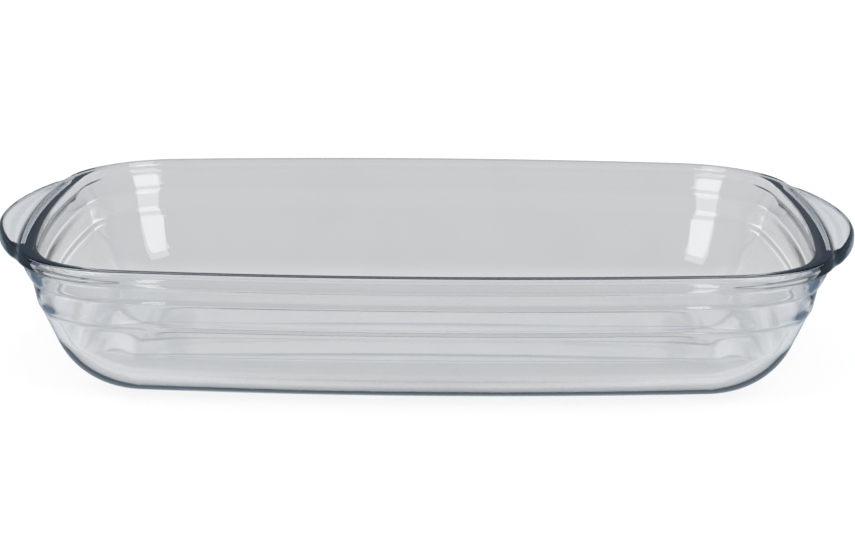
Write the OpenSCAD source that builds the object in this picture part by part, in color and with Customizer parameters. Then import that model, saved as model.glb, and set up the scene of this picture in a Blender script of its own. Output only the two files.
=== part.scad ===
// Clear pressed-glass roasting dish with a crescent grip at each end.
// Millimetres. +X is the length, -Y the front, +Z up. The origin is the middle of the foot, on the table.

/* [Overall] */
// Length over both grips
dish_length = 400; // [340:1:460]
// Width over the rim, at the middle of the long sides
dish_width = 265; // [230:1:300]
// Height from the table to the top of the rim
dish_height = 64.5; // [60:0.5:80]

/* [Plan of the rim] */
// Corner radius at the outside of the rim
rim_corner_r = 57; // [54:0.5:66]
// Radius of the gently bowed long sides
long_side_r = 1200; // [700:10:1800]
// Radius of the gently bowed ends
end_side_r = 640; // [450:10:900]

/* [Wall] */
// Glass thickness of the wall, measured level
wall_t = 5; // [4:0.1:6.5]
// Depth of the first step below the top of the rim
first_step_depth = 14.3; // [12:0.1:17]
// How far the middle of the first step lies inside the rim's outline
first_step_inset = 5.2; // [4.4:0.1:6]
// Depth of the second step below the top of the rim
second_step_depth = 26.4; // [22:0.1:29]
// How far the middle of the second step lies inside the rim's outline
second_step_inset = 8.7; // [7.9:0.1:9.8]
// How far the wall steps in at each step
step_w = 1.3; // [0.6:0.1:1.8]
// Height of each step's slope
step_h = 1.6; // [1:0.1:2.4]

/* [Base] */
// Outer radius of the bend from the wall into the base
bend_r = 37.4; // [32:0.2:39]
// How far the flat of the base lies inside the rim's outline
base_inset = 50.4; // [48.4:0.2:53]
// Glass thickness of the base
base_t = 5.5; // [4.5:0.1:7]
// Width of the ring that the dish stands on
foot_w = 9; // [6:0.5:16]
// Depth of the shallow recess inside that ring
foot_recess = 0.6; // [0.3:0.1:1.2]
// Corner radius of the recess
recess_corner_r = 22; // [12:1:40]

/* [Rim] */
// Height of the thickened rim
rim_h = 6; // [5.4:0.1:7]
// How far the rim stands out past the wall below it
rim_overhang = 2.3; // [1.6:0.1:2.7]
// Rounding of the rim's outer top edge
rim_outer_edge_r = 2.6; // [1.6:0.1:3]
// Rounding of the rim's inner top edge
rim_inner_edge_r = 2.6; // [1.6:0.1:3]

/* [Grips] */
// How far each grip stands out past the rim at its middle
grip_reach = 15; // [12:0.5:24]
// Radius of the grip's outer edge in plan
grip_arc_r = 166; // [140:1:200]
// How far the grip's web lies below the top of the rim
web_drop = 1.8; // [1.2:0.1:2.4]
// Thickness of the grip's web
web_t = 4.2; // [3.4:0.1:4.8]
// Width of the rolled edge of the grip
edge_roll_w = 5; // [5:0.1:7]
// Height of the rolled edge of the grip
edge_roll_h = 8.4; // [7:0.1:9.6]
// How far the rolled edge lies below the top of the rim
edge_roll_drop = 0.6; // [0.2:0.1:1]
// Rounding of the rolled edge
edge_roll_r = 2.5; // [1.4:0.1:2.5]
// Rounding between the grip's underside and the wall
root_r = 4; // [2:0.1:5]

/* [Hidden] */

glass = [0.78, 0.84, 0.88, 0.45];
side_fn = 720;
corner_fn = 120;
bend_steps = 16;
edge_steps = 5;
// Overlap of a cutting tool past what it cuts
overrun = 6;
// How far the planes between the arcs of the plan reach outside it
seam_reach = 40;
// Hair's breadth by which a corner's sector laps over its neighbours, so that they join
seam_lap = 0.00001;

half_length = dish_length / 2 - grip_reach;
half_width = dish_width / 2;
rim_w = rim_overhang + wall_t;
wall_top = dish_height - rim_h;
grip_centre = dish_length / 2 - grip_arc_r;
web_top = dish_height - web_drop;
web_low = web_top - web_t;
roll_top = dish_height - edge_roll_drop;
roll_low = roll_top - edge_roll_h;
grip_low = min(roll_low, web_low - root_r);
// Rounding under the rolled edge, which stops at the web's underside
roll_under_r = min(edge_roll_r, web_low - roll_low);

// Sizes that two touching surfaces share are kept to round figures, so that the surfaces meet
function hundredth(x) = round(x * 100) / 100;
function thousandths(v) = [for (x = v) round(x * 1000) / 1000];

function on_circle(centre, r, angle) = centre + r * [cos(angle), sin(angle)];
function arc(centre, r, from, to, steps) =
    [for (i = [0:steps]) on_circle(centre, r, from + (to - from) * i / steps)];
function reversed(list) = [for (i = [len(list) - 1:-1:0]) list[i]];

// Where two circles meet, on the side with the larger x and y
function circles_meet(c1, r1, c2, r2) =
    let (d = norm(c2 - c1), along = (c2 - c1) / d, across = [-along[1], along[0]],
         u = (d * d + r1 * r1 - r2 * r2) / (2 * d), v = sqrt(r1 * r1 - u * u),
         p = c1 + along * u + across * v, q = c1 + along * u - across * v)
    p[0] + p[1] > q[0] + q[1] ? p : q;

// Where a line from a point touches a circle that the wall runs into, as an angle
function touch_angle(p, centre, r) =
    let (v = centre - p) 180 + atan2(v[1], v[0]) + acos(r / norm(v));

// The eight arcs of a bowed rectangle with round corners, as [centre, radius, sector, is a corner].
// A sector is bounded by two lines from corner centres outwards, and neighbours share a line,
// over which the corner's sector laps by a hair.
function bowed_arcs(half_l, half_w, corner_r, side_r, end_r) =
    let (side_c = [0, half_w - side_r], end_c = [half_l - end_r, 0],
         c = thousandths(circles_meet(side_c, side_r - corner_r, end_c, end_r - corner_r)),
         to_end = thousandths(c + (c - end_c) * (corner_r + seam_reach) / norm(c - end_c)),
         to_side = thousandths(c + (c - side_c) * (corner_r + seam_reach) / norm(c - side_c)),
         lap = seam_lap * (to_end - to_side) / norm(to_end - to_side))
    [for (m = [[1, 1], [-1, 1], [-1, -1], [1, -1]])
        each [[turned(c, m), corner_r,
               [for (p = [c - seam_lap * [1, 1], to_end + lap, to_side - lap]) turned(p, m)], true],
              m[0] == m[1]
              ? [turned(side_c, m), side_r,
                 [for (p = [c, to_side, [-to_side[0], to_side[1]], [-c[0], c[1]]]) turned(p, m)], false]
              : [turned(end_c, m), end_r,
                 [for (p = [c, to_end, [to_end[0], -to_end[1]], [c[0], -c[1]]]) turned(p, m)], false]]];

function turned(p, m) = [p[0] * m[0], p[1] * m[1]];

RIM_ARCS = bowed_arcs(half_length, half_width, rim_corner_r, long_side_r, end_side_r);

// A section turned about the centre of an arc. Its points are [inset from the rim's outline, height].
module turned_section(section, a) {
    translate(a[0])
        rotate_extrude($fn = a[3] ? corner_fn : side_fn)
            polygon([for (p = section) [a[1] - hundredth(p[0]), hundredth(p[1])]]);
}

module sector(a) {
    translate([0, 0, -overrun])
        linear_extrude(dish_height + 2 * overrun)
            polygon(a[2]);
}

// A section carried all round the rim's plan
module swept(section) {
    for (a = RIM_ARCS)
        intersection() {
            turned_section(section, a);
            sector(a);
        }
}

// A flat plate with the outline of a bowed rectangle
module bowed_plate(half_l, half_w, corner_r, side_r, end_r, thickness) {
    arcs = bowed_arcs(half_l, half_w, corner_r, side_r, end_r);
    linear_extrude(thickness) {
        for (a = arcs)
            intersection() {
                translate(a[0])
                    circle(a[1], $fn = a[3] ? corner_fn : side_fn);
                polygon(a[2]);
            }
        polygon([for (a = arcs) if (a[3]) a[0]]);
    }
}

// Slopes of the wall's outer face, as [inset from the rim's outline, height]
WALL_STEPS = [
    [rim_overhang, wall_top],
    [first_step_inset - step_w / 2, dish_height - first_step_depth + step_h / 2],
    [first_step_inset + step_w / 2, dish_height - first_step_depth - step_h / 2],
    [second_step_inset - step_w / 2, dish_height - second_step_depth + step_h / 2],
    [second_step_inset + step_w / 2, dish_height - second_step_depth - step_h / 2]];

// One face of the wall, from the rim down to the flat of the base
function wall_face(inset, r) =
    let (steps = [for (p = WALL_STEPS) p + [inset, 0]], centre = [base_inset, bend_r])
    concat(steps, arc(centre, r, touch_angle(steps[len(steps) - 1], centre, r), 270, bend_steps));

// Level of the cut below the grips, under which the grips have nothing
below_grip = min(grip_low, WALL_STEPS[1][1]) - overrun;

WALL_SECTION = concat(wall_face(0, bend_r), reversed(wall_face(wall_t, bend_r - base_t)));

// The rim's outer face, from its underside up to its top
RIM_OUTER_FACE = concat(
    arc([rim_overhang, wall_top + rim_overhang], rim_overhang, 270, 180, edge_steps),
    arc([rim_outer_edge_r, dish_height - rim_outer_edge_r], rim_outer_edge_r, 180, 90, edge_steps));

RIM_SECTION = concat(
    RIM_OUTER_FACE,
    arc([rim_w - rim_inner_edge_r, dish_height - rim_inner_edge_r], rim_inner_edge_r, 90, 0, edge_steps),
    [[rim_w, wall_top]]);

// All that lies inside the outer faces of the rim and the wall, over the height of a grip
DISH_SECTION = concat(
    [[rim_corner_r, below_grip],
     [WALL_STEPS[1][0], below_grip],
     WALL_STEPS[1]],
    RIM_OUTER_FACE,
    [[rim_outer_edge_r, dish_height + overrun],
     [rim_corner_r, dish_height + overrun]]);

// The grip's web and rolled edge, as [distance inside the grip's outer edge, height]
GRIP_SECTION = concat(
    arc([edge_roll_w - roll_under_r, roll_low + roll_under_r], roll_under_r, 360, 270, edge_steps),
    arc([edge_roll_r, roll_low + edge_roll_r], edge_roll_r, 270, 180, edge_steps),
    arc([edge_roll_r, roll_top - edge_roll_r], edge_roll_r, 180, 90, edge_steps),
    [[edge_roll_w - (roll_top - web_top), roll_top],
     [edge_roll_w, web_top],
     [grip_reach + rim_w, web_top],
     [grip_reach + rim_w, web_low],
     [edge_roll_w, web_low]]);

// The rounding under the grip where it leaves the wall, as [inset from the rim's outline, height]
ROOT_SECTION = concat(
    [[first_step_inset, web_low + web_t / 2],
     [first_step_inset, web_low - root_r]],
    arc([rim_overhang - root_r, web_low - root_r], root_r, 0, 90, edge_steps),
    [[rim_overhang - root_r, web_low + web_t / 2]]);

module base() {
    flat_l = half_length - base_inset;
    flat_w = half_width - base_inset;
    recess_l = flat_l - foot_w;
    recess_w = flat_w - foot_w;
    color(glass)
        difference() {
            bowed_plate(flat_l, flat_w, rim_corner_r - base_inset,
                        long_side_r - base_inset, end_side_r - base_inset, base_t);
            translate([0, 0, -overrun])
                bowed_plate(recess_l, recess_w, recess_corner_r,
                            long_side_r - base_inset - foot_w, end_side_r - base_inset - foot_w,
                            overrun + foot_recess);
        }
}

module side_wall() {
    color(glass)
        swept(WALL_SECTION);
}

module rim() {
    color(glass)
        swept(RIM_SECTION);
}

module right_grip() {
    // The grip's outline is a circle that starts and ends inside the rim's corners
    half_span = RIM_ARCS[0][0][1] + rim_corner_r / 3;
    color(glass)
        for (a = [RIM_ARCS[6], RIM_ARCS[7], RIM_ARCS[0]])
            difference() {
                intersection() {
                    union() {
                        translate([grip_centre, 0, 0])
                            rotate_extrude($fn = side_fn)
                                polygon([for (p = GRIP_SECTION) [grip_arc_r - p[0], p[1]]]);
                        intersection() {
                            turned_section(ROOT_SECTION, a);
                            translate([grip_centre, 0, 0])
                                cylinder(r = grip_arc_r - edge_roll_w, h = dish_height, $fn = side_fn);
                        }
                    }
                    sector(a);
                    translate([half_length - rim_corner_r, -half_span, 0])
                        cube([grip_reach + rim_corner_r + overrun, 2 * half_span, dish_height + overrun]);
                }
                turned_section(DISH_SECTION, a);
            }
}

module left_grip() {
    mirror([1, 0, 0])
        right_grip();
}

base();
side_wall();
rim();
left_grip();
right_grip();
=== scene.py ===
"""Clear pressed-glass roasting dish with a crescent grip at each end, on a pale studio floor."""

import math

import bpy
from bpy.props import FloatProperty, FloatVectorProperty, IntProperty, PointerProperty
from bpy.types import Operator, Panel, PropertyGroup
from mathutils import Matrix, Vector


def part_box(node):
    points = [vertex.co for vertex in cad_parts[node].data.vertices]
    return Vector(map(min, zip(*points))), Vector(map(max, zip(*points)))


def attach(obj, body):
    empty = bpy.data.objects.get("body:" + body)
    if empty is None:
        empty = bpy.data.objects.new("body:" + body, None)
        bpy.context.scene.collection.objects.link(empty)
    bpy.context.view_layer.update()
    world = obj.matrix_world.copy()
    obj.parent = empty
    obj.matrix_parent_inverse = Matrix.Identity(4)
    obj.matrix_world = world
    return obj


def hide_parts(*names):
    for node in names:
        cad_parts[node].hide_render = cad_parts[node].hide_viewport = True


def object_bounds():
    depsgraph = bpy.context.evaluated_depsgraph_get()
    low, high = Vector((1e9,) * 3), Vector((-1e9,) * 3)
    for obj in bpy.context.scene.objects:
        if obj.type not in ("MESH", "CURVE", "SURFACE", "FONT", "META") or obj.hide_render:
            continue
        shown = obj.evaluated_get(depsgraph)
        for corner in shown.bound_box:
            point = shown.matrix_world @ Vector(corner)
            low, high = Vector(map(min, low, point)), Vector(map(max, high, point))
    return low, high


bl_info = {
    "name": "Glass roasting dish",
    "version": (1, 0, 0),
    "blender": (4, 5, 0),
    "location": "View3D > Sidebar > Roasting dish",
    "description": "Builds a pressed-glass roasting dish, its glass, and a studio to show it in",
    "category": "Object",
}

MM = 0.001
DISH_NODES = ("base", "side_wall", "rim", "left_grip", "right_grip")

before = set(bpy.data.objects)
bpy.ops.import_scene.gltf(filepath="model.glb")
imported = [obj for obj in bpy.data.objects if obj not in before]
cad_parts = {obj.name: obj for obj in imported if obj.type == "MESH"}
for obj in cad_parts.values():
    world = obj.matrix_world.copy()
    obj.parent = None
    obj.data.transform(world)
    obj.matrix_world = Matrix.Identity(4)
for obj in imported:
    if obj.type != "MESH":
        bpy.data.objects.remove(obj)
CAD_LOW, CAD_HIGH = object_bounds()
RIM_LOW, RIM_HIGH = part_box("rim")


# Properties

def length(name, default, description):
    """A size in metres, shown in the scene's own length unit."""
    return FloatProperty(name=name, description=description, default=default, min=0,
                         unit="LENGTH", precision=5)


def level(name, default, description):
    """A plain number that isn't negative."""
    return FloatProperty(name=name, description=description, default=default, min=0)


def angle(name, default, description):
    """An angle in degrees that is kept in radians."""
    return FloatProperty(name=name, description=description, default=math.radians(default),
                         subtype="ANGLE")


def colour(name, default, description):
    """A colour without alpha."""
    return FloatVectorProperty(name=name, description=description, default=default, min=0,
                               max=1, size=3, subtype="COLOR")


class DishSizes(PropertyGroup):
    """Sizes of the dish. The overall ones are those of the construction model."""

    overall_length: length("Overall length", CAD_HIGH.x - CAD_LOW.x, "Length over both grips")
    rim_length: length("Rim length", RIM_HIGH.x - RIM_LOW.x, "Length over the rim alone")
    width: length("Width", RIM_HIGH.y - RIM_LOW.y, "Width over the rim")
    height: length("Height", CAD_HIGH.z, "Height from the table to the top of the rim")
    corner_r: length("Corner radius", 57 * MM, "Corner radius at the outside of the rim")
    side_r: length("Long side radius", 1200 * MM, "Radius of the gently bowed long sides")
    end_r: length("End radius", 640 * MM, "Radius of the gently bowed ends")
    wall_t: length("Wall", 5 * MM, "Glass thickness of the wall, measured level")
    first_depth: length("First step depth", 14.3 * MM, "Depth of the first step below the rim")
    first_inset: length("First step inset", 5.2 * MM, "How far the first step lies inside the rim")
    second_depth: length("Second step depth", 26.4 * MM, "Depth of the second step below the rim")
    second_inset: length("Second step inset", 8.7 * MM,
                         "How far the second step lies inside the rim")
    step_w: length("Step width", 1.3 * MM, "How far the wall steps in at each step")
    step_h: length("Step height", 1.6 * MM, "Height of each step's slope")
    step_ease: length("Step easing", 2.4 * MM, "How far from its corner a step is rounded off")
    inner_step_h: length("Inner step height", 3.4 * MM,
                         "Height of each step's slope inside the dish")
    bend_r: length("Bend radius", 37.4 * MM, "Outer radius of the bend into the base")
    inner_bend_r: length("Inner bend radius", 33.4 * MM, "Inner radius of the bend into the base")
    base_inset: length("Base inset", 50.4 * MM, "How far the flat base lies inside the rim")
    base_t: length("Base thickness", 5.5 * MM, "Glass thickness of the base")
    foot_w: length("Foot width", 9 * MM, "Width of the ring that the dish stands on")
    recess: length("Foot recess", 0.6 * MM, "Depth of the recess inside the foot ring")
    recess_r: length("Recess corner radius", 22 * MM, "Corner radius of the recess")
    rim_h: length("Rim height", 6 * MM, "Height of the thickened rim")
    rim_foot: length("Rim foot", 2.5 * MM, "How far below the rim its overhang runs out")
    rim_overhang: length("Rim overhang", 2.3 * MM, "How far the rim stands out past the wall")
    rim_edge_r: length("Rim outer rounding", 1.8 * MM, "Rounding of the rim's outer top edge")
    rim_foot_r: length("Rim foot rounding", 1.5 * MM, "Rounding inside, where the rim thickens")
    rim_inner_r: length("Rim inner rounding", 2.6 * MM, "Rounding of the rim's inner top edge")
    ridge_r: length("Ridge rounding", 0.6 * MM, "Rounding of the inner top edge along a grip")
    ridge_swell: length("Ridge swell", 0.9 * MM,
                        "How far that edge swells into the dish along a grip")
    grip_r: length("Grip radius", 170 * MM, "Radius of the grip's outer edge in plan")
    grip_half_span: length("Grip half span", 96 * MM,
                           "How far to each side of an end's middle a grip may stand out")
    grip_end_ease: length("Grip end easing", 3 * MM, "How softly a grip's outline leaves the rim")
    grip_lead: length("Grip lead", 13 * MM,
                      "How far before and past a grip's end the rim changes its section")
    grip_drop: length("Grip drop", 0.7 * MM, "How far the top of a grip lies below the rim")
    grip_t: length("Grip thickness", 7.1 * MM, "Thickness of a grip's plate")
    grip_edge_r: length("Grip edge rounding", 2.5 * MM, "Rounding of a grip's outer edge")
    grip_inset: length("Grip step inset", 0.8 * MM,
                       "How far inside the rim's outline the rim's top ends at a grip")
    grip_out: length("Grip step end", 0.3 * MM,
                     "How far outside the rim's outline a grip's level top starts")
    grip_soft_r: length("Grip softness", 1 * MM, "Rounding between the rim's top and the grip")
    short_reach: length("Short reach", 5 * MM,
                        "How far a grip stands out before its section is whole")
    root_w: length("Root width", 2.5 * MM, "Width of the slope from a grip's underside to the wall")
    root_r: length("Root rounding", 0.8 * MM, "Rounding of the corners of that slope")
    stations: IntProperty(name="Stations", default=560, min=64,
                          description="Number of sections round the rim")


class DishGlass(PropertyGroup):
    """The look of the glass."""

    tint: colour("Tint", (0.985, 0.99, 0.995), "Colour of light that passes the surface")
    deeper_tint: colour("Deeper tint", (0.962, 0.975, 0.985),
                        "Colour of light that passes where the melt was less even")
    depth_colour: colour("Depth colour", (0.5, 0.64, 0.76), "Colour that thick glass takes on")
    depth_density: level("Depth density", 2.5, "How fast thick glass takes its colour, per metre")
    ior: level("Refraction index", 1.5, "Refraction index of the glass")
    ripple: length("Ripple", 0.02 * MM, "Depth of the slow ripples left by pressing")
    ripple_scale: level("Ripple scale", 34, "Ripples per metre")
    flow: length("Flow lines", 0.003 * MM,
                 "Depth of the faint level lines left by the flow of the glass")
    flow_along: level("Flow lines along", 14, "Changes per metre along the flow lines")
    flow_up: level("Flow lines up", 260, "Flow lines per metre of height")
    skin: length("Mould skin", 0.0006 * MM, "Depth of the fine unevenness left by the mould")
    skin_scale: level("Mould skin scale", 700, "Grains of the mould's skin per metre")
    melt_scale: level("Melt scale", 18, "Patches of deeper tint per metre")


class StudioLook(PropertyGroup):
    """The studio that the dish stands in."""

    backdrop: colour("Backdrop", (1.0, 1.0, 1.0),
                     "Colour of the floor and the backdrop to the camera")
    in_glass: colour("Backdrop in glass", (0.65, 0.652, 0.656),
                     "Colour of the floor and the backdrop where glass shows them")
    # Painted light: a brighter patch on the floor under the dish, which only glass shows
    painted_light_under_glass: colour("Floor under glass", (0.785, 0.785, 0.79),
                        "Colour of the floor that shows through the dish standing on it")
    # Painted reflections: the darker, cooler colours that the backdrop and the floor take where a
    # surface of the glass mirrors them
    mirrored: colour("Backdrop mirrored", (0.2, 0.24, 0.29),
                     "Colour of the backdrop where a surface of the glass mirrors it")
    floor_mirrored: colour("Floor mirrored", (0.4, 0.5, 0.59),
                           "Colour of the floor where a surface of the glass mirrors it")
    # The room's colours are also painted on the floor as shade, in front of the dish and beside it,
    # where light that bounced in the glass meets the floor
    room: colour("Room", (0.13, 0.18, 0.24), "Colour of the dim room beside and above the set")
    dark_room_and_painted_shade: colour("Dark room", (0.036, 0.042, 0.056),
                      "Colour of the room high above the set and in front of its floor")
    # Painted shade lies on the floor in front of this edge, for light that bounced in the glass
    floor_front: length("Floor in front", 103 * MM,
                        "How far in front of the dish's middle the lit part of the floor ends")
    # Where the painted light under the dish ends
    floor_back: length("Floor behind", 128 * MM,
                       "How far behind the dish's middle the brighter floor under it ends")
    # Painted glint: a white patch of floor behind each grip, which only glass shows
    glint_near: length("Glint near", 213 * MM,
                       "How far beside the dish's middle the white floor behind a grip starts")
    glint_far: length("Glint far", 259 * MM,
                      "How far beside the dish's middle the white floor behind a grip ends")
    glint_front: length("Glint front", 175 * MM,
                        "How far behind the dish's middle the white floor behind a grip starts")
    glint_back: length("Glint back", 315 * MM,
                       "How far behind the dish's middle the white floor behind a grip ends")
    # Painted shade lies on the floor past this edge, for light that bounced in the glass; the edge
    # moves out towards the back
    floor_side: length("Floor beside", 228 * MM,
                       "How far beside the dish's middle the lit part of the floor ends")
    widening: level("Floor widening", 0.6,
                    "How much farther out the lit floor reaches, per metre towards the back")
    horizon: angle("Backdrop height", 21, "Elevation to which the backdrop reaches behind the dish")
    low_horizon: angle("Surround height", 9, "Elevation to which the surround is lit elsewhere")
    half_width: angle("Backdrop half width", 8.2, "Half the angle that the backdrop takes up")
    shadow_share: level("Shadow share", 0.15, "How much of the dish's shadow the floor keeps")
    softbox_level: level("Softbox level", 3.2, "Brightness of the softboxes")


# Small helpers for node trees

def add_node(tree, kind, inputs=(), **settings):
    """A node with its settings and inputs. An input is a value or another node's output."""
    made = tree.nodes.new(kind)
    for name, value in settings.items():
        setattr(made, name, value)
    for key, value in dict(inputs).items():
        if isinstance(value, bpy.types.NodeSocket):
            tree.links.new(value, made.inputs[key])
        else:
            made.inputs[key].default_value = value
    return made


def maths(tree, operation, *values, clamp=False):
    """The result of one operation on numbers."""
    return add_node(tree, "ShaderNodeMath", dict(enumerate(values)), operation=operation,
                    use_clamp=clamp).outputs[0]


def vector_maths(tree, operation, *values, scale=None, result="Vector"):
    """The result of one operation on vectors."""
    inputs = dict(enumerate(values))
    if scale is not None:
        inputs["Scale"] = scale
    return add_node(tree, "ShaderNodeVectorMath", inputs, operation=operation).outputs[result]


def between(tree, factor, first, second):
    """A vector between two others, by a factor that is kept between 0 and 1."""
    step = vector_maths(tree, "SUBTRACT", second, first)
    held = maths(tree, "ADD", factor, 0, clamp=True)
    return vector_maths(tree, "ADD", first, vector_maths(tree, "SCALE", step, scale=held))


def stepped(tree, value, start, end):
    """A smooth step from 0 to 1 as a value goes from start to end."""
    limits = {"Value": value, "From Min": start, "From Max": end}
    return add_node(tree, "ShaderNodeMapRange", limits, interpolation_type="SMOOTHSTEP").outputs[0]


def within(tree, value, low, high, fade):
    """1 where a value lies between two others and 0 elsewhere, with soft ends."""
    return maths(tree, "MULTIPLY", stepped(tree, value, low - fade, low + fade),
                 stepped(tree, value, high + fade, high - fade))


# The dish's plan

def on_circle(centre, r, turn):
    """A point on a circle. The turn is in degrees."""
    return Vector(centre) + r * Vector((math.cos(math.radians(turn)), math.sin(math.radians(turn))))


def quarter_arcs(half_l, half_w, corner_r, side_r, end_r):
    """End, corner and long side in a quarter of a bowed rectangle: (centre, radius, from, to)."""
    side_c, end_c = Vector((0, half_w - side_r)), Vector((half_l - end_r, 0))
    to_side, to_end = side_r - corner_r, end_r - corner_r
    gap = end_c - side_c
    along = gap.normalized()
    across = Vector((-along.y, along.x))
    u = (gap.length_squared + to_side ** 2 - to_end ** 2) / (2 * gap.length)
    v = math.sqrt(to_side ** 2 - u ** 2)
    corner = max((side_c + along * u + across * v, side_c + along * u - across * v), key=sum)
    end_turn, side_turn = (math.degrees(math.atan2(*(corner - c).yx)) for c in (end_c, side_c))
    return [(end_c, end_r, 0, end_turn), (corner, corner_r, end_turn, side_turn),
            (side_c, side_r, side_turn, 90)]


def plan_ring(arcs, counts):
    """(place, outward direction) all round, with a number of stations for each arc of a quarter."""
    quarter = [(on_circle(centre, r, turn), on_circle((0, 0), 1, turn))
               for (centre, r, start, end), count in zip(arcs, counts)
               for turn in (start + (end - start) * i / count for i in range(count))]
    centre, r, _start, end = arcs[-1]
    middle = (on_circle(centre, r, end), on_circle((0, 0), 1, end))
    ring = []
    for quadrant, (mx, my) in enumerate(((1, 1), (-1, 1), (-1, -1), (1, -1))):
        part = quarter if quadrant % 2 == 0 else [middle] + quarter[:0:-1]
        ring += [(Vector((p.x * mx, p.y * my)), Vector((n.x * mx, n.y * my))) for p, n in part]
    return ring


# The dish's section. A point is (inset from the rim's outline, height).

# Steps in the arc at each corner. The outer side has nine corners, at a grip or not.
BEND_STEPS = 20
STEP_STEPS = 4
RIM_FOOT_STEPS = 3
RIM_EDGE_STEPS = 8
SIDE_STEPS = (8, 4, 3, 3, 7, 7, 6, 4, 6)
# How much of a stretch between two corners their arcs may take up
ARC_SHARE = 0.98
# Falls of the rim's outer side, as shares of its height and, eased, of its overhang
RIM_FALLS = (0.06, 0.16, 0.28, 0.4, 0.52, 0.66, 0.8, 0.93)
# Where a grip starts: (inset, drop, rounding) in millimetres, down the rim's outer edge
ROOT_EDGE = ((0.9, 0, 1), (0.35, 0.15, 0.5), (0.08, 0.6, 0.5), (0, 1.3, 0.5), (0, 2.6, 1))
# And below it: (share of the overhang, drop, rounding)
ROOT_FOOT = ((0, 0, 1.5), (0.4, 0.4, 1), (0.75, 1.2, 0.6), (1, 3, 0.8))
ROOT_DEPTH_SHARE = 0.75
# Where along a grip's top and underside it keeps a corner, as shares of its reach
GRIP_TOP_SHARES = (0.3, 0.5)
GRIP_LOW_SHARE = 0.5
# Ways from the foot ring to the recess (1) and the middle of the base (2)
WAYS_ABOVE = (2, 1.5, 1, 0.5)
WAYS_BELOW = (0.2, 0.4, 0.6, 0.8, 1, 1.2, 1.4, 1.6, 1.8, 2)
DOME_END = 1.6


def rounded(corners):
    """A line through corners of (inset, height, reach, steps), with each inner corner an arc that
    starts and ends reach away from it, or nearer where two corners share too short a stretch."""
    line = [Vector(corners[0][:2])]
    for before, (x, z, reach, steps), after in zip(corners, corners[1:], corners[2:]):
        corner = Vector((x, z))
        arms, ends = [], []
        for other in (before, after):
            arm = Vector(other[:2]) - corner
            share = ARC_SHARE * reach / (reach + other[2]) if other[2] else 1
            arms.append(arm)
            ends.append(corner + arm.normalized() * min(reach, share * arm.length))
        weight = math.sin(arms[0].angle(arms[1]) / 2)
        for i in range(steps + 1):
            t = i / steps
            pulls = ((1 - t) ** 2, 2 * weight * t * (1 - t), t ** 2)
            point = ends[0] * pulls[0] + corner * pulls[1] + ends[1] * pulls[2]
            line.append(point / sum(pulls))
    return line + [Vector(corners[-1][:2])]


def wall_corners(s, offset, bend_r, low, step_h):
    """Corners of one face of the wall, from the base up."""
    centre = Vector((s.base_inset, s.bend_r))
    corners = []
    for depth, inset in ((s.second_depth, s.second_inset), (s.first_depth, s.first_inset)):
        for way in (1, -1):
            corners.append((inset + offset + way * s.step_w / 2,
                            s.height - depth - way * step_h / 2, s.step_ease, STEP_STEPS))
    to_centre = centre - Vector(corners[0][:2])
    touch = math.atan2(to_centre.y, to_centre.x) + math.acos(bend_r / to_centre.length)
    reach = bend_r * math.tan((math.pi / 2 - touch) / 2)
    return [(s.base_inset, low, 0, 1), (s.base_inset - reach, low, reach, BEND_STEPS)] + corners


def rim_corners(s):
    """(inset, height, reach) of the corners of the rim's outer side, where there is no grip."""
    over = s.rim_overhang
    face = s.height - s.rim_edge_r
    fall = s.rim_h + s.rim_foot - s.rim_edge_r
    return [(0, s.height, s.rim_edge_r)] + [
        (share * share * (3 - 2 * share) * over, face - share * fall, over) for share in RIM_FALLS]


def root_corners(s):
    """The same corners where a grip's outline runs into the rim, which is almost as deep there."""
    low = s.height - s.grip_drop - ROOT_DEPTH_SHARE * s.grip_t
    edge = [(inset * MM, s.height - drop * MM, r * MM) for inset, drop, r in ROOT_EDGE]
    foot = [(share * s.rim_overhang, low - drop * MM, r * MM) for share, drop, r in ROOT_FOOT]
    return edge + foot


def grip_corners(s, reach):
    """The same corners where a grip stands out by reach: rim, flat plate, its edge, the root."""
    over, soft = s.rim_overhang, s.grip_soft_r
    plate_top = s.height - s.grip_drop
    plate_low = plate_top - s.grip_t
    top = [(s.grip_inset, s.height, soft), (-s.grip_out, plate_top, soft)]
    top += [(-share * reach, plate_top, soft) for share in GRIP_TOP_SHARES]
    edge = [(-reach, plate_top, s.grip_edge_r), (-reach, plate_low, s.grip_edge_r)]
    low = [(-GRIP_LOW_SHARE * reach, plate_low, soft), (over - s.root_w, plate_low, s.root_r),
           (over, plate_low - s.root_w, s.root_r)]
    return top + edge + low


def section(s, outer_side, edge_r, swell):
    """A whole section, from the middle of the base's top over the rim to the middle underneath.
    Its points are (inset, share of the way to the recess and the middle, height)."""
    inner = wall_corners(s, s.wall_t, s.inner_bend_r, s.base_t, s.inner_step_h)
    outer = wall_corners(s, 0, s.bend_r, 0, s.step_h)
    rim_w = s.rim_overhang + s.wall_t
    over_rim = [(rim_w, s.height - s.rim_h, s.rim_foot_r, RIM_FOOT_STEPS),
                (rim_w + swell, s.height, edge_r, RIM_EDGE_STEPS)]
    outside = [(*corner, steps) for corner, steps in zip(outer_side, SIDE_STEPS)]
    line = rounded(inner + over_rim + outside + outer[::-1])
    above = [(s.base_inset, way, s.base_t) for way in WAYS_ABOVE]
    below = [(s.base_inset, way, s.recess * (1 - math.cos(math.pi * min(1, way / DOME_END))) / 2)
             for way in WAYS_BELOW]
    return above + [(p.x, 0, p.y) for p in line] + below


# The dish itself

# Shares of the stations on an end, a corner and a long side in each quarter of the plan
STATION_SHARES = (0.075, 0.095, 0.08)
SAME_PLACE = 0.002 * MM
SECTION_INPUTS = ("Plain section", "Root section", "Short section", "Long section")


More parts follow.
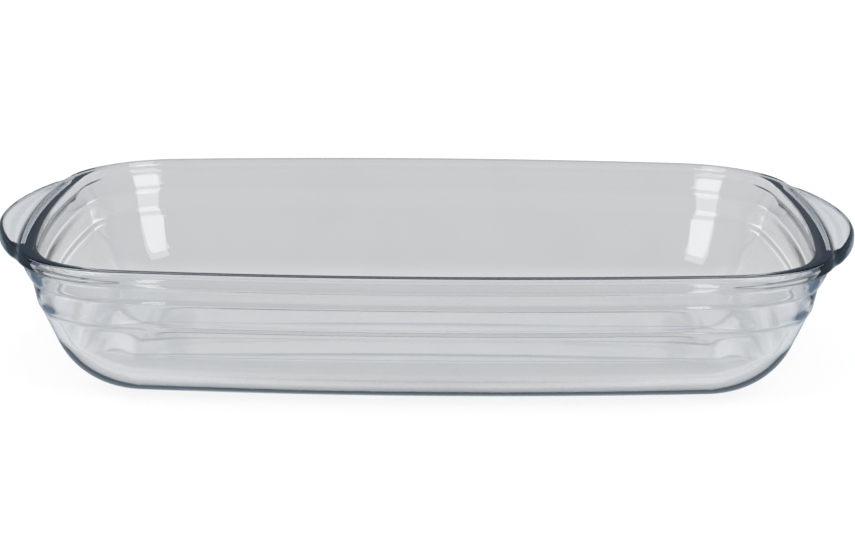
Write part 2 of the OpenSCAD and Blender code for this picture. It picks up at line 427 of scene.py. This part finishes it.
def vertices_object(name, points, **attributes):
    """A helper object of loose vertices, with vector attributes by name."""
    mesh = bpy.data.meshes.new(name)
    mesh.from_pydata([tuple(p) for p in points], [], [])
    for key, values in attributes.items():
        kept = mesh.attributes.new(key, "FLOAT_VECTOR", "POINT")
        kept.data.foreach_set("vector", [x for v in values for x in v])
    made = bpy.data.objects.new(name, mesh)
    bpy.context.scene.collection.objects.link(made)
    return made


def sweep_tree():
    """Geometry nodes that carry a section round the plan and let the grips grow out of it."""
    tree = bpy.data.node_groups.new("Swept dish", "GeometryNodeTree")
    tree.interface.new_socket("Geometry", in_out="INPUT", socket_type="NodeSocketGeometry")
    for name in SECTION_INPUTS:
        tree.interface.new_socket(name, in_out="INPUT", socket_type="NodeSocketObject")
    for name in ("Stations", "Section points"):
        tree.interface.new_socket(name, in_out="INPUT", socket_type="NodeSocketInt")
    for name in ("Grip radius", "Grip centre", "Grip half span", "Grip end easing", "Grip lead",
                 "Short reach", "Long reach"):
        tree.interface.new_socket(name, in_out="INPUT", socket_type="NodeSocketFloat")
    tree.interface.new_socket("Material", in_out="INPUT", socket_type="NodeSocketMaterial")
    tree.interface.new_socket("Geometry", in_out="OUTPUT", socket_type="NodeSocketGeometry")
    given = tree.nodes.new("NodeGroupInput").outputs

    columns = maths(tree, "ADD", given["Stations"], 1)
    grid = add_node(tree, "GeometryNodeMeshGrid",
                    {"Vertices X": columns, "Vertices Y": given["Section points"]})
    index = tree.nodes.new("GeometryNodeInputIndex").outputs[0]
    column = maths(tree, "FLOOR", maths(tree, "DIVIDE", maths(tree, "ADD", index, 0.5),
                                        given["Section points"]))
    row = maths(tree, "SUBTRACT", index, maths(tree, "MULTIPLY", column, given["Section points"]))
    station = maths(tree, "MODULO", column, given["Stations"])

    def sampled(geometry, place, attribute=None):
        """A vector of one point of a helper, its place or a named attribute."""
        if attribute is None:
            value = tree.nodes.new("GeometryNodeInputPosition").outputs[0]
        else:
            value = add_node(tree, "GeometryNodeInputNamedAttribute", {"Name": attribute},
                             data_type="FLOAT_VECTOR").outputs["Attribute"]
        return add_node(tree, "GeometryNodeSampleIndex",
                        {"Geometry": geometry, "Value": value, "Index": place},
                        data_type="FLOAT_VECTOR").outputs[0]

    plan = given["Geometry"]
    outline = sampled(plan, station)
    outward = sampled(plan, station, "outward")
    recess = sampled(plan, station, "recess")
    helpers = (add_node(tree, "GeometryNodeObjectInfo", {"Object": given[name]})
               for name in SECTION_INPUTS)
    plain, root, short, long = (sampled(helper.outputs["Geometry"], row) for helper in helpers)

    # How far the grip's circle lies outside the rim, straight out from this station
    place = add_node(tree, "ShaderNodeSeparateXYZ", {0: outline}).outputs
    side = maths(tree, "SIGN", place["X"])
    centre = add_node(tree, "ShaderNodeCombineXYZ",
                      {"X": maths(tree, "MULTIPLY", side, given["Grip centre"])}).outputs[0]
    away = vector_maths(tree, "SUBTRACT", outline, centre)
    along = vector_maths(tree, "DOT_PRODUCT", away, outward, result="Value")
    spare = maths(tree, "SUBTRACT", maths(tree, "POWER", given["Grip radius"], 2),
                  vector_maths(tree, "DOT_PRODUCT", away, away, result="Value"))
    chord = maths(tree, "SQRT", maths(tree, "MAXIMUM", 0,
                                      maths(tree, "ADD", maths(tree, "POWER", along, 2), spare)))
    straight = maths(tree, "SUBTRACT", chord, along)
    aside = maths(tree, "ABSOLUTE", place["Y"])
    near = maths(tree, "LESS_THAN", aside, given["Grip half span"])
    ease = given["Grip end easing"]
    started = maths(tree, "MINIMUM", maths(tree, "MULTIPLY", 2, ease),
                    maths(tree, "MAXIMUM", 0, maths(tree, "ADD", straight, ease)))
    eased = maths(tree, "DIVIDE", maths(tree, "POWER", started, 2),
                  maths(tree, "MULTIPLY", 4, ease))
    rest = maths(tree, "MAXIMUM", 0, maths(tree, "SUBTRACT", straight, ease))
    reach = maths(tree, "MULTIPLY", near, maths(tree, "ADD", eased, rest))

    lead = given["Grip lead"]
    deepened = stepped(tree, aside, maths(tree, "ADD", given["Grip half span"], lead),
                       maths(tree, "SUBTRACT", given["Grip half span"], lead))
    growing = maths(tree, "DIVIDE", reach, given["Short reach"])
    grown = maths(tree, "DIVIDE", maths(tree, "SUBTRACT", reach, given["Short reach"]),
                  maths(tree, "SUBTRACT", given["Long reach"], given["Short reach"]))
    edge = between(tree, growing, root, between(tree, grown, short, long))
    point = between(tree, deepened, plain, edge)
    inset, way, height = add_node(tree, "ShaderNodeSeparateXYZ", {0: point}).outputs

    offset = vector_maths(tree, "SUBTRACT", outline,
                          vector_maths(tree, "SCALE", outward, scale=inset))
    floor_point = between(tree, way, offset, recess)
    to_middle = maths(tree, "SUBTRACT", 2, maths(tree, "MAXIMUM", way, 1))
    flat = vector_maths(tree, "SCALE", floor_point, scale=to_middle)
    lift = add_node(tree, "ShaderNodeCombineXYZ", {"Z": height}).outputs[0]
    moved = add_node(tree, "GeometryNodeSetPosition", {
        "Geometry": grid.outputs["Mesh"], "Position": vector_maths(tree, "ADD", flat, lift)})
    closed = add_node(tree, "GeometryNodeMergeByDistance",
                      {"Geometry": moved.outputs[0], "Distance": SAME_PLACE})
    smooth = add_node(tree, "GeometryNodeSetShadeSmooth", {"Geometry": closed.outputs[0]})
    solid = add_node(tree, "GeometryNodeRealizeInstances", {"Geometry": smooth.outputs[0]})
    dressed = add_node(tree, "GeometryNodeSetMaterial",
                       {"Geometry": solid.outputs[0], "Material": given["Material"]})
    add_node(tree, "NodeGroupOutput", {"Geometry": dressed.outputs[0]})
    return tree


def swept_dish(s, material):
    """The dish as one closed mesh object."""
    half_l, half_w = s.rim_length / 2, s.width / 2
    counts = [round(s.stations * share) for share in STATION_SHARES]
    deep = s.base_inset + s.foot_w
    ring = plan_ring(quarter_arcs(half_l, half_w, s.corner_r, s.side_r, s.end_r), counts)
    inner = plan_ring(quarter_arcs(half_l - deep, half_w - deep, s.recess_r, s.side_r - deep,
                                   s.end_r - deep), counts)
    long_reach = s.overall_length / 2 - half_l
    plan = vertices_object("plan", [(*p, 0) for p, _n in ring],
                           outward=[(*n, 0) for _p, n in ring],
                           recess=[(*p, 0) for p, _n in inner])
    lines = [section(s, rim_corners(s), s.rim_inner_r, 0)] + [
        section(s, side, s.ridge_r, s.ridge_swell)
        for side in (root_corners(s), grip_corners(s, s.short_reach), grip_corners(s, long_reach))]
    sections = [vertices_object(name, line) for name, line in zip(SECTION_INPUTS, lines)]
    tree = sweep_tree()
    modifier = plan.modifiers.new("Sweep", "NODES")
    modifier.node_group = tree
    given = {**dict(zip(SECTION_INPUTS, sections)),
             "Stations": len(ring), "Section points": len(lines[0]),
             "Grip radius": s.grip_r, "Grip centre": s.overall_length / 2 - s.grip_r,
             "Grip half span": s.grip_half_span, "Grip end easing": s.grip_end_ease,
             "Grip lead": s.grip_lead, "Short reach": s.short_reach, "Long reach": long_reach,
             "Material": material}
    for socket in tree.interface.items_tree:
        if socket.in_out == "INPUT" and socket.name in given:
            modifier[socket.identifier] = given[socket.name]
    graph = bpy.context.evaluated_depsgraph_get()
    mesh = bpy.data.meshes.new_from_object(plan.evaluated_get(graph))
    mesh.name = "glass_dish"
    for helper in (plan, *sections):
        bpy.data.objects.remove(helper)
    bpy.data.node_groups.remove(tree)
    if signed_volume(mesh) < 0:
        mesh.flip_normals()
    made = bpy.data.objects.new("glass_dish", mesh)
    bpy.context.scene.collection.objects.link(made)
    return made


def signed_volume(mesh):
    """The volume inside a closed mesh, negative where its faces point inwards."""
    mesh.calc_loop_triangles()
    total = 0
    for triangle in mesh.loop_triangles:
        a, b, c = (mesh.vertices[i].co for i in triangle.vertices)
        total += a.dot(b.cross(c)) / 6
    return total


# Materials

# Values of the noise between which the tint deepens
MELT_FADE = (0.42, 0.68)
# How far to each side of its edge a patch of painted light or shade on the floor fades
UNDER_FADE = 30 * MM
GLINT_SIDE_FADE = 6 * MM
GLINT_END_FADE = 12 * MM
FLOOR_FRONT_FADE = 10 * MM
FLOOR_SIDE_FADE = 20 * MM


def raised(tree, height, depth, below=None):
    """The normal of a surface with a bump of a given depth, on top of an earlier one."""
    inputs = {"Height": height, "Distance": depth, "Strength": 1}
    if below is not None:
        inputs["Normal"] = below
    return add_node(tree, "ShaderNodeBump", inputs).outputs[0]


def pressed_glass(g):
    """Clear pressed glass: slow ripples, faint level flow lines, a fine skin from the mould, an
    uneven tint, and a slate tint in its depth."""
    material = bpy.data.materials.new("pressed_glass")
    material.use_nodes = True
    tree = material.node_tree
    tree.nodes.clear()
    place = tree.nodes.new("ShaderNodeTexCoord").outputs["Object"]
    ripple = add_node(tree, "ShaderNodeTexNoise", {"Vector": place, "Scale": g.ripple_scale,
                                                   "Detail": 1.5}).outputs[0]
    stretched = add_node(tree, "ShaderNodeMapping", {
        "Vector": place, "Scale": (g.flow_along, g.flow_along, g.flow_up)}).outputs[0]
    flow = add_node(tree, "ShaderNodeTexNoise", {"Vector": stretched, "Scale": 1,
                                                 "Detail": 2}).outputs[0]
    grain = add_node(tree, "ShaderNodeTexNoise", {"Vector": place, "Scale": g.skin_scale,
                                                  "Detail": 3}).outputs[0]
    melt = add_node(tree, "ShaderNodeTexNoise", {"Vector": place, "Scale": g.melt_scale,
                                                 "Detail": 3, "Distortion": 0.8}).outputs[0]
    rippled = raised(tree, ripple, g.ripple)
    skinned = raised(tree, grain, g.skin, raised(tree, flow, g.flow, rippled))
    uneven = stepped(tree, melt, *MELT_FADE)
    glass = add_node(tree, "ShaderNodeBsdfPrincipled",
                     {"Base Color": between(tree, uneven, tuple(g.tint), tuple(g.deeper_tint)),
                      "Roughness": 0.0, "IOR": g.ior, "Transmission Weight": 1,
                      "Normal": skinned})
    depth = add_node(tree, "ShaderNodeVolumeAbsorption",
                     {"Color": (*g.depth_colour, 1), "Density": g.depth_density})
    add_node(tree, "ShaderNodeOutputMaterial",
             {"Surface": glass.outputs[0], "Volume": depth.outputs[0]})
    return material


def mirrored(tree, path):
    """1 for light that a surface mirrors, 0 for light that has come through glass."""
    return maths(tree, "SUBTRACT", path["Is Glossy Ray"], path["Is Transmission Ray"], clamp=True)


def floor_in_glass(tree, look, path):
    """The floor's colour where glass shows it: pale grey, with painted light under the dish, a
    painted glint behind each grip, and a darker, cooler painted reflection where a surface mirrors
    it. Light that bounces in the glass meets painted shade in the room's colours on the floor in
    front of the dish and beside it."""
    place = tree.nodes.new("ShaderNodeTexCoord").outputs["Object"]
    across, behind, _z = add_node(tree, "ShaderNodeSeparateXYZ", {0: place}).outputs
    aside = maths(tree, "ABSOLUTE", across)
    # Painted light: the floor under the dish is brighter
    under = stepped(tree, behind, look.floor_back + UNDER_FADE, look.floor_back - UNDER_FADE)
    # Painted glint: a white patch of floor behind each grip
    glint = maths(tree, "MULTIPLY",
                  within(tree, aside, look.glint_near, look.glint_far, GLINT_SIDE_FADE),
                  within(tree, behind, look.glint_front, look.glint_back, GLINT_END_FADE))
    through = between(tree, under, tuple(look.in_glass), tuple(look.painted_light_under_glass))
    through = between(tree, glint, through, tuple(look.backdrop))
    # Painted reflection: darker and cooler where a surface of the glass mirrors the floor
    pale = between(tree, mirrored(tree, path), through, tuple(look.floor_mirrored))
    # Painted shade: for light that bounced in the glass, the floor in front of the dish and beside
    # it takes the room's dim colours
    bounced = maths(tree, "MINIMUM", 1, path["Glossy Depth"])
    widening = maths(tree, "MULTIPLY", maths(tree, "MAXIMUM", 0, behind), look.widening)
    out = maths(tree, "SUBTRACT", aside, widening)
    at_side = stepped(tree, out, look.floor_side - FLOOR_SIDE_FADE,
                      look.floor_side + FLOOR_SIDE_FADE)
    in_front = stepped(tree, behind, FLOOR_FRONT_FADE - look.floor_front,
                       -FLOOR_FRONT_FADE - look.floor_front)
    seen = between(tree, maths(tree, "MULTIPLY", bounced, at_side), pale, tuple(look.room))
    return between(tree, maths(tree, "MULTIPLY", bounced, in_front), seen, tuple(look.dark_room_and_painted_shade))


def floor_finish(look):
    """Plain floor: white to the camera with a faint shadow, and grey with painted light, shade and
    reflections where glass shows it."""
    material = bpy.data.materials.new("studio_floor")
    material.use_nodes = True
    tree = material.node_tree
    tree.nodes.clear()
    path = tree.nodes.new("ShaderNodeLightPath").outputs
    camera = path["Is Camera Ray"]
    shown = between(tree, camera, floor_in_glass(tree, look, path), tuple(look.backdrop))
    glow = add_node(tree, "ShaderNodeEmission", {"Color": shown})
    diffuse = add_node(tree, "ShaderNodeBsdfDiffuse", {"Color": shown})
    share = maths(tree, "MULTIPLY", camera, look.shadow_share)
    mixed = add_node(tree, "ShaderNodeMixShader", {0: share, 1: glow.outputs[0],
                                                   2: diffuse.outputs[0]})
    add_node(tree, "ShaderNodeOutputMaterial", {"Surface": mixed.outputs[0]})
    return material


# The studio

# Fades of the surroundings, as differences in a direction of length 1
SIDE_FADE = 0.02
TOP_FADE = (-0.04, 0.06)
ROOM_FADE = (0.35, 0.8)
FLOOR_REACH = 6.0
SOFTBOX_PLACE = (0.88, -0.82, 0.85)
SOFTBOX_AIM = (0, 0, 0.04)
SOFTBOX_SIZE = (0.8, 1.16)


def studio_world(look):
    """White to the camera and to the floor. Glass shows a pale backdrop behind the dish, a low pale
    surround, and a dim room that gets darker higher up."""
    world = bpy.data.worlds.new("studio")
    bpy.context.scene.world = world
    world.use_nodes = True
    tree = world.node_tree
    tree.nodes.clear()
    path = tree.nodes.new("ShaderNodeLightPath").outputs
    direction = tree.nodes.new("ShaderNodeTexCoord").outputs["Generated"]
    x, y, up = add_node(tree, "ShaderNodeSeparateXYZ", {0: direction}).outputs
    aside = maths(tree, "SUBTRACT", maths(tree, "ABSOLUTE", x),
                  maths(tree, "MULTIPLY", y, math.tan(look.half_width)))
    behind = stepped(tree, aside, SIDE_FADE, -SIDE_FADE)
    low, high = math.sin(look.low_horizon), math.sin(look.horizon)
    top = maths(tree, "MULTIPLY_ADD", behind, high - low, low)
    above = stepped(tree, maths(tree, "SUBTRACT", up, top), *TOP_FADE)
    room = between(tree, stepped(tree, up, *ROOM_FADE), tuple(look.room), tuple(look.dark_room_and_painted_shade))
    # Painted reflection: the backdrop is darker and cooler where a surface of the glass mirrors it
    pale = between(tree, mirrored(tree, path), tuple(look.in_glass), tuple(look.mirrored))
    in_glass = between(tree, above, pale, room)
    plain = maths(tree, "MAXIMUM", path["Is Camera Ray"], path["Is Diffuse Ray"])
    shown = between(tree, plain, in_glass, tuple(look.backdrop))
    background = add_node(tree, "ShaderNodeBackground", {"Color": shown, "Strength": 1})
    add_node(tree, "ShaderNodeOutputWorld", {"Surface": background.outputs[0]})


def add_floor(look):
    """A wide level floor under the dish."""
    mesh = bpy.data.meshes.new("floor")
    mesh.from_pydata([(x * FLOOR_REACH, y * FLOOR_REACH, 0)
                      for x, y in ((-1, -1), (1, -1), (1, 1), (-1, 1))], [], [(0, 1, 2, 3)])
    mesh.materials.append(floor_finish(look))
    floor = bpy.data.objects.new("floor", mesh)
    bpy.context.scene.collection.objects.link(floor)


def add_softbox(name, side, brightness):
    """A rectangular lamp that faces the dish. Its brightness is what its surface looks like."""
    lamp = bpy.data.lights.new(name, "AREA")
    lamp.shape = "RECTANGLE"
    lamp.size, lamp.size_y = SOFTBOX_SIZE
    lamp.energy = brightness * math.pi * lamp.size * lamp.size_y
    made = bpy.data.objects.new(name, lamp)
    out, forward, up = SOFTBOX_PLACE
    place = Vector((side * out, forward, up))
    made.matrix_world = Matrix.LocRotScale(
        place, (Vector(SOFTBOX_AIM) - place).to_track_quat("-Z", "Y"), None)
    made.visible_camera = False
    bpy.context.scene.collection.objects.link(made)


def add_camera():
    """A long lens that looks down on the dish from the front, with the horizon almost level."""
    pixels_wide, focal_pixels = 855, 2471.8
    target = Vector((0.7, 0, 37.5)) * MM
    distance = 1174.5 * MM
    # In radians
    turn, fall, roll = -0.0033, 0.2387, 0.0078
    level_ahead = Vector((math.sin(turn), math.cos(turn), 0))
    ahead = level_ahead * math.cos(fall) - Vector((0, 0, math.sin(fall)))
    level_right = ahead.cross(Vector((0, 0, 1))).normalized()
    level_up = level_right.cross(ahead)
    right = level_right * math.cos(roll) + level_up * math.sin(roll)
    up = level_up * math.cos(roll) - level_right * math.sin(roll)
    lens = bpy.data.cameras.new("camera")
    lens.lens = lens.sensor_width * focal_pixels / pixels_wide
    camera = bpy.data.objects.new("camera", lens)
    camera.matrix_world = Matrix.Translation(target - ahead * distance) @ Matrix(
        (right, up, -ahead)).transposed().to_4x4()
    bpy.context.scene.collection.objects.link(camera)
    bpy.context.scene.camera = camera


# Operators

class DISH_OT_body(Operator):
    """Build the dish as one closed piece of glass"""

    bl_idname = "roasting_dish.body"
    bl_label = "Dish"

    def execute(self, context):
        made = swept_dish(context.scene.dish_sizes, pressed_glass(context.scene.dish_glass))
        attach(made, "root")
        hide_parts(*DISH_NODES)
        return {"FINISHED"}


class DISH_OT_studio(Operator):
    """Set up the floor, the backdrop, the lamps and the camera"""

    bl_idname = "roasting_dish.studio"
    bl_label = "Studio"

    def execute(self, context):
        look = context.scene.dish_studio
        context.scene.view_settings.view_transform = "Standard"
        add_floor(look)
        studio_world(look)
        add_softbox("left_softbox", -1, look.softbox_level)
        add_softbox("right_softbox", 1, look.softbox_level)
        add_camera()
        return {"FINISHED"}


class DISH_PT_panel(Panel):
    """Lists the sizes, the looks and the steps that build the dish"""

    bl_label = "Roasting dish"
    bl_idname = "DISH_PT_panel"
    bl_space_type = "VIEW_3D"
    bl_region_type = "UI"
    bl_category = "Roasting dish"

    def draw(self, context):
        column = self.layout.column(align=True)
        for operator in (DISH_OT_body, DISH_OT_studio):
            column.operator(operator.bl_idname)
        scene = context.scene
        for group in (scene.dish_sizes, scene.dish_glass, scene.dish_studio):
            box = self.layout.box()
            for name in group.__annotations__:
                box.prop(group, name)


CLASSES = (DishSizes, DishGlass, StudioLook, DISH_OT_body, DISH_OT_studio, DISH_PT_panel)


def register():
    """Make the properties, operators and panel known."""
    for kind in CLASSES:
        bpy.utils.register_class(kind)
    bpy.types.Scene.dish_sizes = PointerProperty(type=DishSizes)
    bpy.types.Scene.dish_glass = PointerProperty(type=DishGlass)
    bpy.types.Scene.dish_studio = PointerProperty(type=StudioLook)


def unregister():
    """Take them away again."""
    for name in ("dish_sizes", "dish_glass", "dish_studio"):
        delattr(bpy.types.Scene, name)
    for kind in reversed(CLASSES):
        bpy.utils.unregister_class(kind)


def main():
    """Build everything."""
    register()
    bpy.ops.roasting_dish.body()
    bpy.ops.roasting_dish.studio()


if __name__ == "__main__":
    main()
